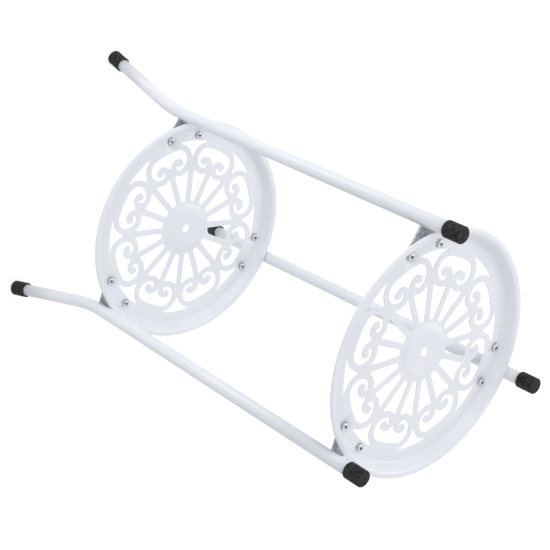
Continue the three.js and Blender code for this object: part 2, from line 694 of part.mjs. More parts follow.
const tiers = [
  { name: 'lower', deck: LOWER_DECK_HEIGHT, turn: LOWER_TRAY_TURN },
  { name: 'upper', deck: LOWER_DECK_HEIGHT + TIER_SPACING, turn: LOWER_TRAY_TURN + TRAY_TWIST }
];
const traySource = makeTray();
for (const tier of tiers) {
  const trayAngle = FIRST_LEG_ANGLE + tier.turn;
  addPiece(`${tier.name}_tray`, traySource.clone().rotateZ(trayAngle).translate(0, 0, tier.deck), WHITE_PAINT);

  const bracketBottom = tier.deck - SHEET - BRACKET_THICKNESS;
  const climb = (bracketBottom + BRACKET_THICKNESS / 2 - LOWER_DECK_HEIGHT) / LEG_UP.z;
  const legHere = AT_LOW_DECK.clone().addScaledVector(LEG_UP, climb);
  const legInTray = legHere.applyAxisAngle(new THREE.Vector3(0, 0, 1), -tier.turn);
  const bracketSource = makeBracket(legInTray.x, legInTray.y);

  for (let i = 0; i < LEG_COUNT; i += 1) {
    const middle = trayAngle + 2 * Math.PI * i / LEG_COUNT;
    const bracket = bracketSource.clone().rotateZ(middle).translate(0, 0, bracketBottom);
    addPiece(`${tier.name}_bracket_${i + 1}`, bracket, GREY_STEEL);
    for (const [label, side] of [['right', -1], ['left', 1]]) {
      const angle = middle + side * SCREW_HALF_ANGLE;
      const x = SCREW_CIRCLE_RADIUS * Math.cos(angle);
      const y = SCREW_CIRCLE_RADIUS * Math.sin(angle);
      const screw = screwGeometry().rotateZ(angle).translate(x, y, tier.deck);
      const nut = nutGeometry().rotateZ(angle).translate(x, y, bracketBottom);
      addPiece(`${tier.name}_screw_${i + 1}_${label}`, screw, ZINC_STEEL);
      addPiece(`${tier.name}_nut_${i + 1}_${label}`, nut, ZINC_STEEL);
    }
  }
}

// Centre the whole stand over the origin and set its feet on the floor.
const extent = new THREE.Box3();
for (const mesh of group.children) {
  mesh.geometry.computeBoundingBox();
  extent.union(mesh.geometry.boundingBox);
}
const middleX = (extent.min.x + extent.max.x) / 2;
const middleY = (extent.min.y + extent.max.y) / 2;
for (const mesh of group.children) {
  mesh.geometry.translate(-middleX, -middleY, -extent.min.z);
}

export default group;
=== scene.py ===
"""Looks of the two-tier round plant stand: finer meshes, materials, light and the camera.

Lengths inside this file are millimetres, unless a comment says metres. Meshes are written in
metres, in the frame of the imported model.
"""

import cmath
import math

import bpy
from mathutils import Matrix, Vector, geometry


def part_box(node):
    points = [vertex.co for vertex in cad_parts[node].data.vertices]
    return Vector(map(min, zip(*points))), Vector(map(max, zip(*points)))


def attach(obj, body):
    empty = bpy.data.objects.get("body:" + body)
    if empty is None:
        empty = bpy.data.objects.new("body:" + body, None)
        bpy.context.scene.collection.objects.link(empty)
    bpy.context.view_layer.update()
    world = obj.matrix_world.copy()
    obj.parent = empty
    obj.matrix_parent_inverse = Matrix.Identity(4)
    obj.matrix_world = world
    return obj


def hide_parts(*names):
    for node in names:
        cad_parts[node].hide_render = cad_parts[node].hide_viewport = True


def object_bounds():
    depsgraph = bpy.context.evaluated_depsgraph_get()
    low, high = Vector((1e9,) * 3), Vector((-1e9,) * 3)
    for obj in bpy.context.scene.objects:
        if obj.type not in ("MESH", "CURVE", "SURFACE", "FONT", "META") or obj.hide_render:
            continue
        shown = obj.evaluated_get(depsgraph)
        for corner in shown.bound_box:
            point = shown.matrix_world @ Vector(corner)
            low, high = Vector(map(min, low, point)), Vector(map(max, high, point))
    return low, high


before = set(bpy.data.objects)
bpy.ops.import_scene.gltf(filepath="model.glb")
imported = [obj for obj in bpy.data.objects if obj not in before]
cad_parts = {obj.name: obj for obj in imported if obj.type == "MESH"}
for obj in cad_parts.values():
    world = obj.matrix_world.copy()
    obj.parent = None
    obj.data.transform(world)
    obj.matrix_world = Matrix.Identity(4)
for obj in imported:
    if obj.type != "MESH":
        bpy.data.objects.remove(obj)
CAD_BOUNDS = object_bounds()

MM = 0.001
TURN = 2 * math.pi

# ---- Driving dimensions, the same as the solids' -----------------------------------------------

# Tiers
TIERS = ("lower", "upper")
TIER_SPACING = 445.7
FIRST_LEG_ANGLE = math.radians(90)
TRAY_TURN = {"lower": math.radians(-0.89), "upper": math.radians(-0.89 + 4.54)}

# Legs
LEG_COUNT = 3
TUBE_RADIUS = 8.0
TUBE_WALL = 1.2
LEG_RADIUS_LOW = 160.6
LEG_RADIUS_HIGH = 161.6
LEG_LEAN = math.radians(2.35)
LEG_TOP_ABOVE_DECK = 48.6
BEND_RADIUS = 183.0
FLARE_ANGLE = math.radians(16)
BEND_START_ABOVE_DECK = 2.4
FOOT_LENGTH = 114.0

# Rubber caps
CAP_RADIUS = 10.0
CAP_BORE_RADIUS = 8.3
CAP_LENGTH = 23.0
CAP_FLOOR = 2.8
CAP_END_GAP = 0.2
CAP_END_ROUND = 1.3
CAP_MOUTH_ROUND = 0.5

# Trays, pressed from sheet. Bend radii are to the middle of the sheet.
SHEET = 1.2
DECK_RADIUS = 134.4
RING_INNER_RADIUS = 121.8
ARCH_TOP_RADIUS = 113.0
LIP_RADIUS = 151.6
LIP_HEIGHT = 13.0
WALL_ANGLE = math.radians(60)
WALL_BEND_RADIUS = 4.0
LIP_CURL_RADIUS = 1.6
LIP_CURL_ANGLE = math.radians(70)

# Tray centre
HUB_RADIUS = 38.3
HUB_FOOT_RADIUS = 36.0
HUB_RISE = 2.2
HUB_SLOPE = math.radians(18)
HUB_BEND_RADIUS = 8.0
CENTRE_HOLE_RADIUS = 5.6

# Scrollwork
ARCH_COUNT = 8
ARCH_STEP = TURN / ARCH_COUNT
SCROLL_START = math.radians(14.72)
HALF_BAR = 4.05
ARCH_CENTRE_DISTANCE = 98.7
ARCH_CENTRE_ANGLE = math.radians(8.8)
ARCH_CURVE_RADIUS = 18.4
RETURN_CURVE_RADIUS = 9.9
CURL_CURVE_RADIUS = 7.0
CURL_END_ANGLE = math.radians(46)
SCROLL_EYE_RADIUS = 5.2
ARCH_SPOKE_TIP = 92.2
JUNCTION_SPOKE_TIP = 101.3
INNER_CORNER = 2.0
HUB_CORNER = 1.6
FINE_CORNER = 1.0

# Screws, nuts and brackets
SCREW_CIRCLE_RADIUS = 129.7
SCREW_HALF_ANGLE = math.radians(9.98)
SCREW_HOLE_RADIUS = 2.8
SHANK_RADIUS = 2.5
SHANK_LENGTH = 10.0
HEAD_RADIUS = 4.6
HEAD_SIDE_HEIGHT = 1.3
HEAD_HEIGHT = 3.1
NUT_ACROSS_FLATS = 8.0
NUT_THICKNESS = 4.0
NUT_BORE_RADIUS = 2.95
BRACKET_THICKNESS = 2.5
BRACKET_CORNER_RADIUS = 6.6
BRACKET_CORNER_END = math.radians(175)
BRACKET_CORNER_RUN = 4.0
BRACKET_INNER_EDGE = 121.6
BRACKET_NECK_HALF_WIDTH = 5.0
BRACKET_SADDLE_GAP = 0.3
BRACKET_SADDLE_WRAP = 158.0

# ---- Finish of the meshes ----------------------------------------------------------------------

CHORD_ERROR = 0.02
SAME_POINT = 0.01
ON_AXIS = 0.01
FLAT_MARGIN = 0.25
LEAST_MITRE = 0.5

RIM_SIDES = 240
HUB_SIDES = 96
SHEET_BEND_PARTS = 10
SHEET_EDGE_OVER = 0.4
SHEET_EDGE_UNDER = 0.25
EDGE_STEPS = 5

TUBE_SIDES = 64
BEND_STEPS = 24
CAP_BORE_CORNER = 0.3
CAP_MOUTH_STEPS = 4
CAP_END_STEPS = 6
# How far the cap's mouth opens past its bore, and at which heights.
CAP_MOUTH_FLARE = ((0.0, 0.3), (0.15, 0.05), (0.35, 0.0))

BRACKET_EDGE = 0.35
BRACKET_EDGE_STEPS = 3
SADDLE_SEARCH_STEPS = 200
WELD_RADIUS = 1.5
WELD_RIPPLE = 0.18
WELD_SPACING = 1.3
WELD_SIDES = 12
WELD_STEPS = 60
WELD_END_SHARE = 0.02
WELD_END_POWER = 8

SCREW_SIDES = 48
SCREW_HOLE_SIDES = 24
SCREW_SHARP_ANGLE = math.radians(35)
THREAD_TURNS = 13
THREAD_DEPTH = 0.42
THREAD_CREST_SHARE = 0.12
THREAD_ROOT_SHARE = 0.55
HEAD_UNDER_ROUND = 0.15
HEAD_STRAIGHT_SHARE = 0.8
CROWN_POWER = 2.6
# Shares of the head's radius at which its dome has a ring of points.
CROWN_SHARES = (0.997, 0.985, 0.96, 0.92, 0.86, 0.78, 0.70, 0.62)
RECESS_REACH = 2.35
RECESS_HALF_WIDTH = 0.52
RECESS_INNER_CORNER = 1.35
RECESS_WAIST = 0.7
RECESS_WAIST_DEPTH = 1.3
RECESS_DEPTH = 2.1

NUT_SIDES = 6
NUT_STEPS_PER_SIDE = 8
NUT_CHAMFER_SHARE = 0.97
NUT_CHAMFER_SLOPE = 0.55
NUT_MOUTH = 0.35
NUT_SHARP_ANGLE = math.radians(25)

# ---- The stand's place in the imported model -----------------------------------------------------

tray_low, tray_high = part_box("lower_tray")
AXIS = Vector(((tray_low.x + tray_high.x) / 2, (tray_low.y + tray_high.y) / 2, 0)) / MM
LOWER_DECK = tray_high.z / MM - LIP_HEIGHT
DECK = {"lower": LOWER_DECK, "upper": LOWER_DECK + TIER_SPACING}
FLOOR_HEIGHT = CAD_BOUNDS[0][2] / MM


# ---- Plane geometry, with points as complex numbers --------------------------------------------


def arc(centre, radius, start, end):
    step = 2 * math.acos(1 - CHORD_ERROR / max(radius, 2 * CHORD_ERROR))
    count = max(1, math.ceil(abs(end - start) / step))
    return [
        centre + cmath.rect(radius, start + (end - start) * i / count)
        for i in range(count + 1)
    ]


def line(point, angle):
    """A straight edge of an opening, which lies to the line's left."""
    return {"point": point, "angle": angle}


def circle(centre, radius, inside):
    """A round edge of an opening, which lies inside or outside the circle."""
    return {"centre": centre, "radius": radius, "inside": inside}


def is_line(edge):
    return "angle" in edge


def shifted(edge, distance):
    if is_line(edge):
        return line(
            edge["point"] + cmath.rect(distance, edge["angle"] + math.pi / 2),
            edge["angle"],
        )
    change = -distance if edge["inside"] else distance
    return circle(edge["centre"], edge["radius"] + change, edge["inside"])


def crossings(a, b):
    if is_line(a) and is_line(b):
        gap = b["point"] - a["point"]
        along = (gap * cmath.rect(1, -b["angle"])).imag
        return [
            a["point"]
            + cmath.rect(along / math.sin(a["angle"] - b["angle"]), a["angle"])
        ]
    if is_line(b):
        return crossings(b, a)
    if is_line(a):
        centre = foot_on_line(a, b["centre"])
        off = abs(b["centre"] - centre)
        half = math.sqrt(max(0, b["radius"] ** 2 - off**2))
        reach = cmath.rect(half, a["angle"])
        return [centre - reach, centre + reach]
    gap = b["centre"] - a["centre"]
    span = abs(gap)
    along = (span**2 + a["radius"] ** 2 - b["radius"] ** 2) / (2 * span)
    half = math.sqrt(max(0, a["radius"] ** 2 - along**2))
    return [
        a["centre"] + (along + 1j * half) * gap / span,
        a["centre"] + (along - 1j * half) * gap / span,
    ]


def foot_on_line(edge, point):
    turned = (point - edge["point"]) * cmath.rect(1, -edge["angle"])
    return edge["point"] + cmath.rect(turned.real, edge["angle"])


def touch_point(edge, centre):
    if is_line(edge):
        return foot_on_line(edge, centre)
    away = cmath.phase(centre - edge["centre"])
    return edge["centre"] + cmath.rect(edge["radius"], away)


def corner(a, b, radius, near):
    """A rounded corner between two edges. Where they cross twice, it is the one near the point."""
    choices = crossings(shifted(a, radius), shifted(b, radius))
    centre = min(choices, key=lambda point: abs(point - near))
    return {
        "centre": centre,
        "radius": radius,
        "start": touch_point(a, centre),
        "end": touch_point(b, centre),
    }


def corner_points(c):
    start = cmath.phase(c["start"] - c["centre"])
    end = cmath.phase(c["end"] - c["centre"])
    if end < start:
        end += TURN
    return arc(c["centre"], c["radius"], start, end)


def edge_points(edge, first, last):
    start = cmath.phase(first - edge["centre"])
    end = cmath.phase(last - edge["centre"])
    if edge["inside"] and end < start:
        end += TURN
    if not edge["inside"] and end > start:
        end -= TURN
    return arc(edge["centre"], edge["radius"], start, end)


def joined(*parts):
    points = []
    for part in parts:
        for point in part:
            if not points or abs(point - points[-1]) > SAME_POINT:
                points.append(point)
    if abs(points[0] - points[-1]) < SAME_POINT:
        points.pop()
    return points


def turned(points, angle):
    return [point * cmath.rect(1, angle) for point in points]


def mirrored(points):
    return [point.conjugate() for point in reversed(points)]


def ring_points(radius, sides, centre=0):
    return [centre + cmath.rect(radius, TURN * i / sides) for i in range(sides)]


def grown(points, distance):
    """An anticlockwise outline moved outwards by the distance, point by point."""
    moved = []
    for i, point in enumerate(points):
        before = point - points[i - 1]
        after = points[(i + 1) % len(points)] - point
        before /= abs(before)
        after /= abs(after)
        middle = before + after
        middle /= abs(middle)
        stretch = 1 / max(LEAST_MITRE, (before * middle.conjugate()).real)
        moved.append(point - 1j * middle * distance * stretch)
    return moved


# ---- The scrollwork's openings, drawn for the arch whose middle lies along +X ------------------

ARCH = cmath.rect(ARCH_CENTRE_DISTANCE, ARCH_CENTRE_ANGLE)
RETURN = ARCH - ARCH_CURVE_RADIUS + RETURN_CURVE_RADIUS
CURL = RETURN - 1j * (RETURN_CURVE_RADIUS - CURL_CURVE_RADIUS)
EYE = CURL + cmath.rect(CURL_CURVE_RADIUS + HALF_BAR - SCROLL_EYE_RADIUS, CURL_END_ANGLE)


def arch_opening():
    """The heart-shaped opening inside one arch, with a scroll curling in from each side."""
    curl_inside = circle(CURL, CURL_CURVE_RADIUS - HALF_BAR, True)
    curl_outside = circle(CURL, CURL_CURVE_RADIUS + HALF_BAR, False)
    eye = circle(EYE, SCROLL_EYE_RADIUS, False)
    tip = line(complex(ARCH_SPOKE_TIP, 0), -math.pi / 2)
    near_throat = CURL + 1 - 1j
    near_notch = complex(ARCH_SPOKE_TIP + 1, 2)
    throat = corner(curl_inside, eye, FINE_CORNER, near_throat)
    notch = corner(curl_outside, tip, FINE_CORNER, near_notch)
    curl_top = CURL + cmath.rect(curl_outside["radius"], CURL_END_ANGLE)
    curl_foot = CURL - 1j * curl_inside["radius"]
    half = joined(
        arc(0, ARCH_TOP_RADIUS, 0, ARCH_CENTRE_ANGLE),
        arc(ARCH, ARCH_CURVE_RADIUS - HALF_BAR, ARCH_CENTRE_ANGLE, math.pi),
        arc(RETURN, RETURN_CURVE_RADIUS - HALF_BAR, math.pi, 1.5 * math.pi),
        edge_points(curl_inside, curl_foot, throat["start"]),
        corner_points(throat),
        edge_points(eye, throat["end"], curl_top),
        edge_points(curl_outside, curl_top, notch["start"]),
        corner_points(notch),
    )
    return joined(half, mirrored(half))


def spoke_opening():
    """The opening between an arch's middle spoke and the next spoke anticlockwise."""
    half_step = ARCH_STEP / 2
    low_spoke = line(complex(0, HALF_BAR), 0)
    high_spoke = line(cmath.rect(HALF_BAR, half_step - math.pi / 2), half_step + math.pi)
    return_outside = circle(RETURN, RETURN_CURVE_RADIUS + HALF_BAR, False)
    arch_outside = circle(ARCH, ARCH_CURVE_RADIUS + HALF_BAR, False)
    hub = circle(0, HUB_RADIUS, False)
    scroll_left = ARCH - arch_outside["radius"]
    near_scroll_top = scroll_left + 12j
    a = corner(low_spoke, return_outside, INNER_CORNER, complex(scroll_left.real, HALF_BAR))
    b = corner(arch_outside, high_spoke, INNER_CORNER, near_scroll_top)
    c = corner(high_spoke, hub, HUB_CORNER, cmath.rect(HUB_RADIUS, half_step))
    d = corner(hub, low_spoke, HUB_CORNER, complex(HUB_RADIUS, HALF_BAR))
    return joined(
        corner_points(a),
        edge_points(return_outside, a["end"], scroll_left),
        edge_points(arch_outside, scroll_left, b["start"]),
        corner_points(b),
        corner_points(c),
        edge_points(hub, c["end"], d["start"]),
        corner_points(d),
    )


def spandrel_opening():
    """The three-cornered opening between two arches and the ring, drawn about +X."""
    centre = cmath.rect(ARCH_CENTRE_DISTANCE, ARCH_STEP / 2 - ARCH_CENTRE_ANGLE)
    arch = circle(centre, ARCH_CURVE_RADIUS + HALF_BAR, False)
    ring = circle(0, RING_INNER_RADIUS, True)
    tip = line(complex(JUNCTION_SPOKE_TIP, 0), -math.pi / 2)
    near_horn = complex(RING_INNER_RADIUS, centre.imag - 4)
    near_neck = complex(JUNCTION_SPOKE_TIP + 1, 1)
    horn = corner(ring, arch, FINE_CORNER, near_horn)
    neck = corner(arch, tip, FINE_CORNER, near_neck)
    half = joined(
        edge_points(ring, complex(RING_INNER_RADIUS, 0), horn["start"]),
        corner_points(horn),
        edge_points(arch, horn["end"], neck["start"]),
        corner_points(neck),
    )
    return joined(half, mirrored(half))


def scroll_openings():
    openings = []
    for i in range(ARCH_COUNT):
        middle = SCROLL_START + ARCH_STEP * i
        openings.append(turned(arch_opening(), middle))
        openings.append(turned(spoke_opening(), middle))
        openings.append(turned(mirrored(spoke_opening()), middle))
        openings.append(turned(spandrel_opening(), middle + ARCH_STEP / 2))
    return openings


# ---- Mesh building -----------------------------------------------------------------------------

INSIDE_TRIANGLES = 1
TRIANGLE_TOLERANCE = 1e-7


class Surface:
    """Collects rings of points and the faces between them."""

    def __init__(self):
        self.points = []
        self.faces = []

    def ring(self, plane_points, height):
        first = len(self.points)
        self.points += [Vector((p.real, p.imag, height)) for p in plane_points]
        return list(range(first, len(self.points)))

    def free_ring(self, points):
        first = len(self.points)
        self.points += [Vector(p) for p in points]
        return list(range(first, len(self.points)))

    def bridge(self, a, b):
        """Quads between two closed rings. Seen from outside, b lies above an anticlockwise a."""
        count = len(a)
        for i in range(count):
            j = (i + 1) % count
            self.faces.append((a[i], a[j], b[j], b[i]))

    def bridge_all(self, rings):
        for a, b in zip(rings, rings[1:]):
            self.bridge(a, b)

    def cap(self, ring):
        self.faces.append(tuple(ring))

    def fill(self, outer, holes, upwards):
        """A flat face with holes, as triangles, between rings that already exist."""
        rings = [outer, *holes]
        ids = [i for ring in rings for i in ring]
        spots = [self.points[i].to_2d() for i in ids]
        polygons = []
        first = 0
        for ring in rings:
            polygons.append(list(range(first, first + len(ring))))
            first += len(ring)
        _, _, faces, sources, _, owners = geometry.delaunay_2d_cdt(
            spots, [], polygons, INSIDE_TRIANGLES, TRIANGLE_TOLERANCE
        )
        for face, owner in zip(faces, owners):
            if list(owner) != [0]:
                continue
            corners = [ids[sources[i][0]] for i in face]
            a, b, c = (self.points[i].to_2d() for i in corners)
            anticlockwise = (b - a).cross(c - a) > 0
            self.faces.append(tuple(corners if anticlockwise == upwards else corners[::-1]))

    def object(self, name, placed=Matrix.Identity(4), smooth=True):
        mesh = bpy.data.meshes.new(name)
        points = [(placed @ p) * MM for p in self.points]
        mesh.from_pydata(points, [], self.faces)
        mesh.validate()
        mesh.polygons.foreach_set("use_smooth", [smooth] * len(mesh.polygons))
        mesh.update()
        made = bpy.data.objects.new(name, mesh)
        bpy.context.scene.collection.objects.link(made)
        return made


def quarter_round(width, depth, steps):
    """Pairs of (inset, drop) from a flat face's border round to the side."""
    pairs = []
    for i in range(steps + 1):
        angle = math.pi / 2 * i / steps
        pairs.append((width * (1 - math.sin(angle)), depth * (1 - math.cos(angle))))
    return pairs


def edge_profile(top, bottom, over=SHEET_EDGE_OVER, under=SHEET_EDGE_UNDER, steps=EDGE_STEPS):
    """Pairs of (inset, height) down a plate's edge, rounded by one radius above and one below."""
    above = [(inset, top - drop) for inset, drop in quarter_round(over, over, steps)]
    below = [(inset, bottom + drop) for inset, drop in quarter_round(under, under, steps)]
    return [
        (over + FLAT_MARGIN, top),
        *above,
        *reversed(below),
        (under + FLAT_MARGIN, bottom),
    ]


# ---- Materials ---------------------------------------------------------------------------------


class Finish:
    """A procedural material in the making. Its patterns follow the object's own coordinates."""

    def __init__(self, name):
        self.material = bpy.data.materials.new(name)
        self.material.use_nodes = True
        self.nodes = self.material.node_tree.nodes
        self.links = self.material.node_tree.links
        self.shader = self.nodes["Principled BSDF"]
        self.place = self.nodes.new("ShaderNodeTexCoord").outputs["Object"]
        self.relief = None

    def noise(self, scale, detail, roughness=0.5):
        node = self.nodes.new("ShaderNodeTexNoise")
        node.inputs["Scale"].default_value = scale
        node.inputs["Detail"].default_value = detail
        node.inputs["Roughness"].default_value = roughness
        self.links.new(self.place, node.inputs["Vector"])
        return node.outputs["Fac"]

    def cells(self, scale):
        node = self.nodes.new("ShaderNodeTexVoronoi")
        node.inputs["Scale"].default_value = scale
        self.links.new(self.place, node.inputs["Vector"])
        return node.outputs["Distance"]

    def weighted_sum(self, pattern, weight, other):
        """The pattern times the weight, plus the other pattern."""
        node = self.nodes.new("ShaderNodeMath")
        node.operation = "MULTIPLY_ADD"
        node.inputs[1].default_value = weight
        self.links.new(pattern, node.inputs[0])
        self.links.new(other, node.inputs[2])
        return node.outputs["Value"]

    def tones(self, pattern, dark, light, start=0.3, end=0.7):
        """Colours the surface from dark to light as the pattern goes from start to end."""
        node = self.nodes.new("ShaderNodeValToRGB")
        first, last = node.color_ramp.elements
        first.position, first.color = start, (*dark, 1)
        last.position, last.color = end, (*light, 1)
        self.links.new(pattern, node.inputs["Fac"])
        self.links.new(node.outputs["Color"], self.shader.inputs["Base Color"])

    def gloss(self, pattern, smooth, rough, start=0.3, end=0.7):
        """Sets the roughness between two values as the pattern goes from start to end."""
        node = self.nodes.new("ShaderNodeMapRange")
        node.inputs["From Min"].default_value = start
        node.inputs["From Max"].default_value = end
        node.inputs["To Min"].default_value = smooth
        node.inputs["To Max"].default_value = rough
        self.links.new(pattern, node.inputs["Value"])
        self.links.new(node.outputs["Result"], self.shader.inputs["Roughness"])

    def bump(self, pattern, distance, strength):
        """Adds a relief, with the distance in metres, on top of the reliefs before it."""
        node = self.nodes.new("ShaderNodeBump")
        node.inputs["Distance"].default_value = distance
        node.inputs["Strength"].default_value = strength
        self.links.new(pattern, node.inputs["Height"])
        if self.relief:
            self.links.new(self.relief, node.inputs["Normal"])
        self.relief = node.outputs["Normal"]
        self.links.new(self.relief, self.shader.inputs["Normal"])


def white_paint():
    """Satin white powder coat: faint orange peel and slow changes of tone."""
    finish = Finish("white_powder_coat")
    tone = finish.noise(scale=9, detail=4)
    finish.tones(tone, dark=(0.775, 0.80, 0.86), light=(0.825, 0.845, 0.895))
    finish.gloss(finish.noise(scale=60, detail=3), smooth=0.30, rough=0.42)
    finish.bump(finish.noise(scale=160, detail=2), distance=0.0004, strength=0.25)
    finish.bump(finish.noise(scale=700, detail=2), distance=0.0001, strength=0.3)
    finish.shader.inputs["Coat Weight"].default_value = 0.15
    finish.shader.inputs["Coat Roughness"].default_value = 0.2
    return finish.material


def black_rubber():
    """Moulded black rubber with a fine matt grain and paler rubbed patches."""
    finish = Finish("black_rubber")
    rub = finish.noise(scale=220, detail=6, roughness=0.65)
    dark, light = (0.003, 0.003, 0.0033), (0.036, 0.036, 0.037)
    finish.tones(rub, dark, light, start=0.4, end=0.62)
    finish.gloss(rub, smooth=0.55, rough=0.75)
    finish.bump(finish.noise(scale=350, detail=3), distance=0.0003, strength=0.35)
    grain = finish.noise(scale=1600, detail=3, roughness=0.6)
    finish.bump(grain, distance=0.00015, strength=0.5)
    finish.shader.inputs["Specular IOR Level"].default_value = 0.18
    return finish.material


def zinc_steel():
    """Bright zinc plating with a fine turned grain."""
    finish = Finish("zinc_plated_steel")
    tone = finish.noise(scale=500, detail=4, roughness=0.6)
    finish.tones(tone, dark=(0.44, 0.45, 0.47), light=(0.60, 0.61, 0.62))
    finish.gloss(tone, smooth=0.22, rough=0.40)
    finish.bump(finish.noise(scale=2500, detail=2), distance=0.00004, strength=0.3)
    finish.shader.inputs["Metallic"].default_value = 1.0
    return finish.material


def grey_steel():
    """Dull galvanised steel plate with soft mottling."""
    finish = Finish("galvanised_steel")
    patch = finish.noise(scale=85, detail=5, roughness=0.65)
    mottle = finish.weighted_sum(finish.cells(scale=260), weight=0.35, other=patch)
    dark, light = (0.25, 0.255, 0.27), (0.72, 0.725, 0.74)
    finish.tones(mottle, dark, light, start=0.4, end=0.9)
    finish.gloss(patch, smooth=0.42, rough=0.6)
    finish.bump(finish.noise(scale=700, detail=3), distance=0.0001, strength=0.4)
    finish.shader.inputs["Metallic"].default_value = 0.75
    return finish.material


def recess_painted_shade():
    """Painted shade: a near-black colour on the screws' cross recesses, standing in for the shade
    deep inside them.
    """
    finish = Finish("recess_painted_shade")
    patch = finish.noise(scale=900, detail=3)
    finish.tones(patch, dark=(0.008, 0.008, 0.009), light=(0.03, 0.03, 0.032))
    finish.gloss(patch, smooth=0.5, rough=0.8)
    finish.shader.inputs["Specular IOR Level"].default_value = 0.2
    return finish.material


# Painted shade for the screws' cross recesses.
RECESS_PAINTED_SHADE = recess_painted_shade()

# The frame's material slots and their finishes.
LOOKS = {
    "white_paint": white_paint(),
    "black_rubber": black_rubber(),
    "zinc_steel": zinc_steel(),
    "grey_steel": grey_steel(),
}


def settle(piece, slot, *nodes):
    """Gives a piece its finish, puts it on the frame and hides the solids that it stands for."""
    piece.data.materials.clear()
    piece.data.materials.append(LOOKS[slot])
    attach(piece, "root")
    if nodes:
        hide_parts(*nodes)
    return piece


def placed_at(x, y, z, angle=0.0):
    return Matrix.Translation(AXIS + Vector((x, y, z))) @ Matrix.Rotation(angle, 4, "Z")


# ---- Trays -------------------------------------------------------------------------------------


def sheet_faces(radius, height, steps):
    """Follows the middle of a sheet's cross-section and returns its upper and lower faces.

    Points are radius + height * 1j. A step is a run's length, or a bend's radius and angle, where
    a positive angle bends upwards.
    """
    place = complex(radius, height)
    heading = 0.0
    above, below = [], []
    for step in [0.0, *steps]:
        if isinstance(step, float):
            place += cmath.rect(step, heading)
            aside = cmath.rect(SHEET / 2, heading + math.pi / 2)
            above.append(place + aside)
            below.append(place - aside)
            continue
        bend, angle = step
        for _ in range(SHEET_BEND_PARTS):
            onward = heading + angle / SHEET_BEND_PARTS
            turn = cmath.rect(1, heading) - cmath.rect(1, onward)
            place += math.copysign(bend, angle) * 1j * turn
            heading = onward
            aside = cmath.rect(SHEET / 2, heading + math.pi / 2)
            above.append(place + aside)
            below.append(place - aside)
    return above, below


def rim_section():
    """From the deck's upper face up the wall, over the lip and back to the deck's lower face."""
    bends = 2 * WALL_BEND_RADIUS
    wall = (LIP_HEIGHT - bends * (1 - math.cos(WALL_ANGLE))) / math.sin(WALL_ANGLE)
    flange_start = DECK_RADIUS + bends * math.sin(WALL_ANGLE) + wall * math.cos(WALL_ANGLE)
    flange_end = LIP_RADIUS - (LIP_CURL_RADIUS + SHEET / 2) * math.sin(LIP_CURL_ANGLE)
    above, below = sheet_faces(DECK_RADIUS - FLAT_MARGIN, -SHEET / 2, [
        FLAT_MARGIN,
        (WALL_BEND_RADIUS, WALL_ANGLE),
        wall,
        (WALL_BEND_RADIUS, -WALL_ANGLE),
        flange_end - flange_start,
        (LIP_CURL_RADIUS, -LIP_CURL_ANGLE),
    ])
    edge = (above[-1] + below[-1]) / 2
    over = cmath.phase(above[-1] - edge)
    return [*above, *arc(edge, SHEET / 2, over, over - math.pi)[1:-1], *below[::-1]]


def hub_section():
    """From the deck's upper face inwards over the hub, down its hole and back underneath."""
    bends = 2 * HUB_BEND_RADIUS
    slope = (HUB_RISE - bends * (1 - math.cos(HUB_SLOPE))) / math.sin(HUB_SLOPE)
    flat_end = HUB_FOOT_RADIUS - bends * math.sin(HUB_SLOPE) - slope * math.cos(HUB_SLOPE)
    hole = [
        complex(CENTRE_HOLE_RADIUS + inset, height)
        for inset, height in edge_profile(HUB_RISE, HUB_RISE - SHEET)
    ]
    inner = hole[0].real
    above, below = sheet_faces(inner, HUB_RISE - SHEET / 2, [
        flat_end - inner,
        (HUB_BEND_RADIUS, -HUB_SLOPE),
        slope,
        (HUB_BEND_RADIUS, HUB_SLOPE),
        FLAT_MARGIN,
    ])
    return [*above[:0:-1], *hole, *below[1:]]


def make_tray(name, placed):
    surface = Surface()
    top_rings, bottom_rings = [], []
    for opening in scroll_openings():
        rings = [
            surface.ring(grown(opening, inset), height)
            for inset, height in edge_profile(0.0, -SHEET)
        ]
        surface.bridge_all([ring[::-1] for ring in reversed(rings)])
        top_rings.append(rings[0])
        bottom_rings.append(rings[-1])
    for i in range(LEG_COUNT):
        for side in (-1, 1):
            angle = TURN * i / LEG_COUNT + side * SCREW_HALF_ANGLE
            centre = cmath.rect(SCREW_CIRCLE_RADIUS, angle)
            hole = ring_points(SCREW_HOLE_RADIUS, SCREW_HOLE_SIDES, centre)
            rings = [surface.ring(hole, height) for height in (0, -SHEET)]
            surface.bridge(rings[1][::-1], rings[0][::-1])
            top_rings.append(rings[0])
            bottom_rings.append(rings[1])
    hub = [surface.ring(ring_points(p.real, HUB_SIDES), p.imag) for p in hub_section()]
    surface.bridge_all([ring[::-1] for ring in reversed(hub)])
    top_rings.append(hub[0])
    bottom_rings.append(hub[-1])
    rim = [surface.ring(ring_points(p.real, RIM_SIDES), p.imag) for p in rim_section()]
    surface.bridge_all(rim[::-1])
    surface.fill(rim[0], top_rings, True)
    surface.fill(rim[-1], bottom_rings, False)
    return surface.object(name, placed)


# ---- Legs and caps -----------------------------------------------------------------------------

AT_LOW_DECK = Vector((LEG_RADIUS_LOW, 0, LOWER_DECK))
AT_HIGH_DECK = Vector((
    LEG_RADIUS_HIGH * math.cos(LEG_LEAN),
    LEG_RADIUS_HIGH * math.sin(LEG_LEAN),
    LOWER_DECK + TIER_SPACING,
))
LEG_UP = (AT_HIGH_DECK - AT_LOW_DECK).normalized()
LEG_OUT = (Vector((1, 0, 0)) - LEG_UP * LEG_UP.x).normalized()
LEG_SIDE = LEG_UP.cross(LEG_OUT).normalized()
FOOT_DOWN = LEG_OUT * math.sin(FLARE_ANGLE) - LEG_UP * math.cos(FLARE_ANGLE)


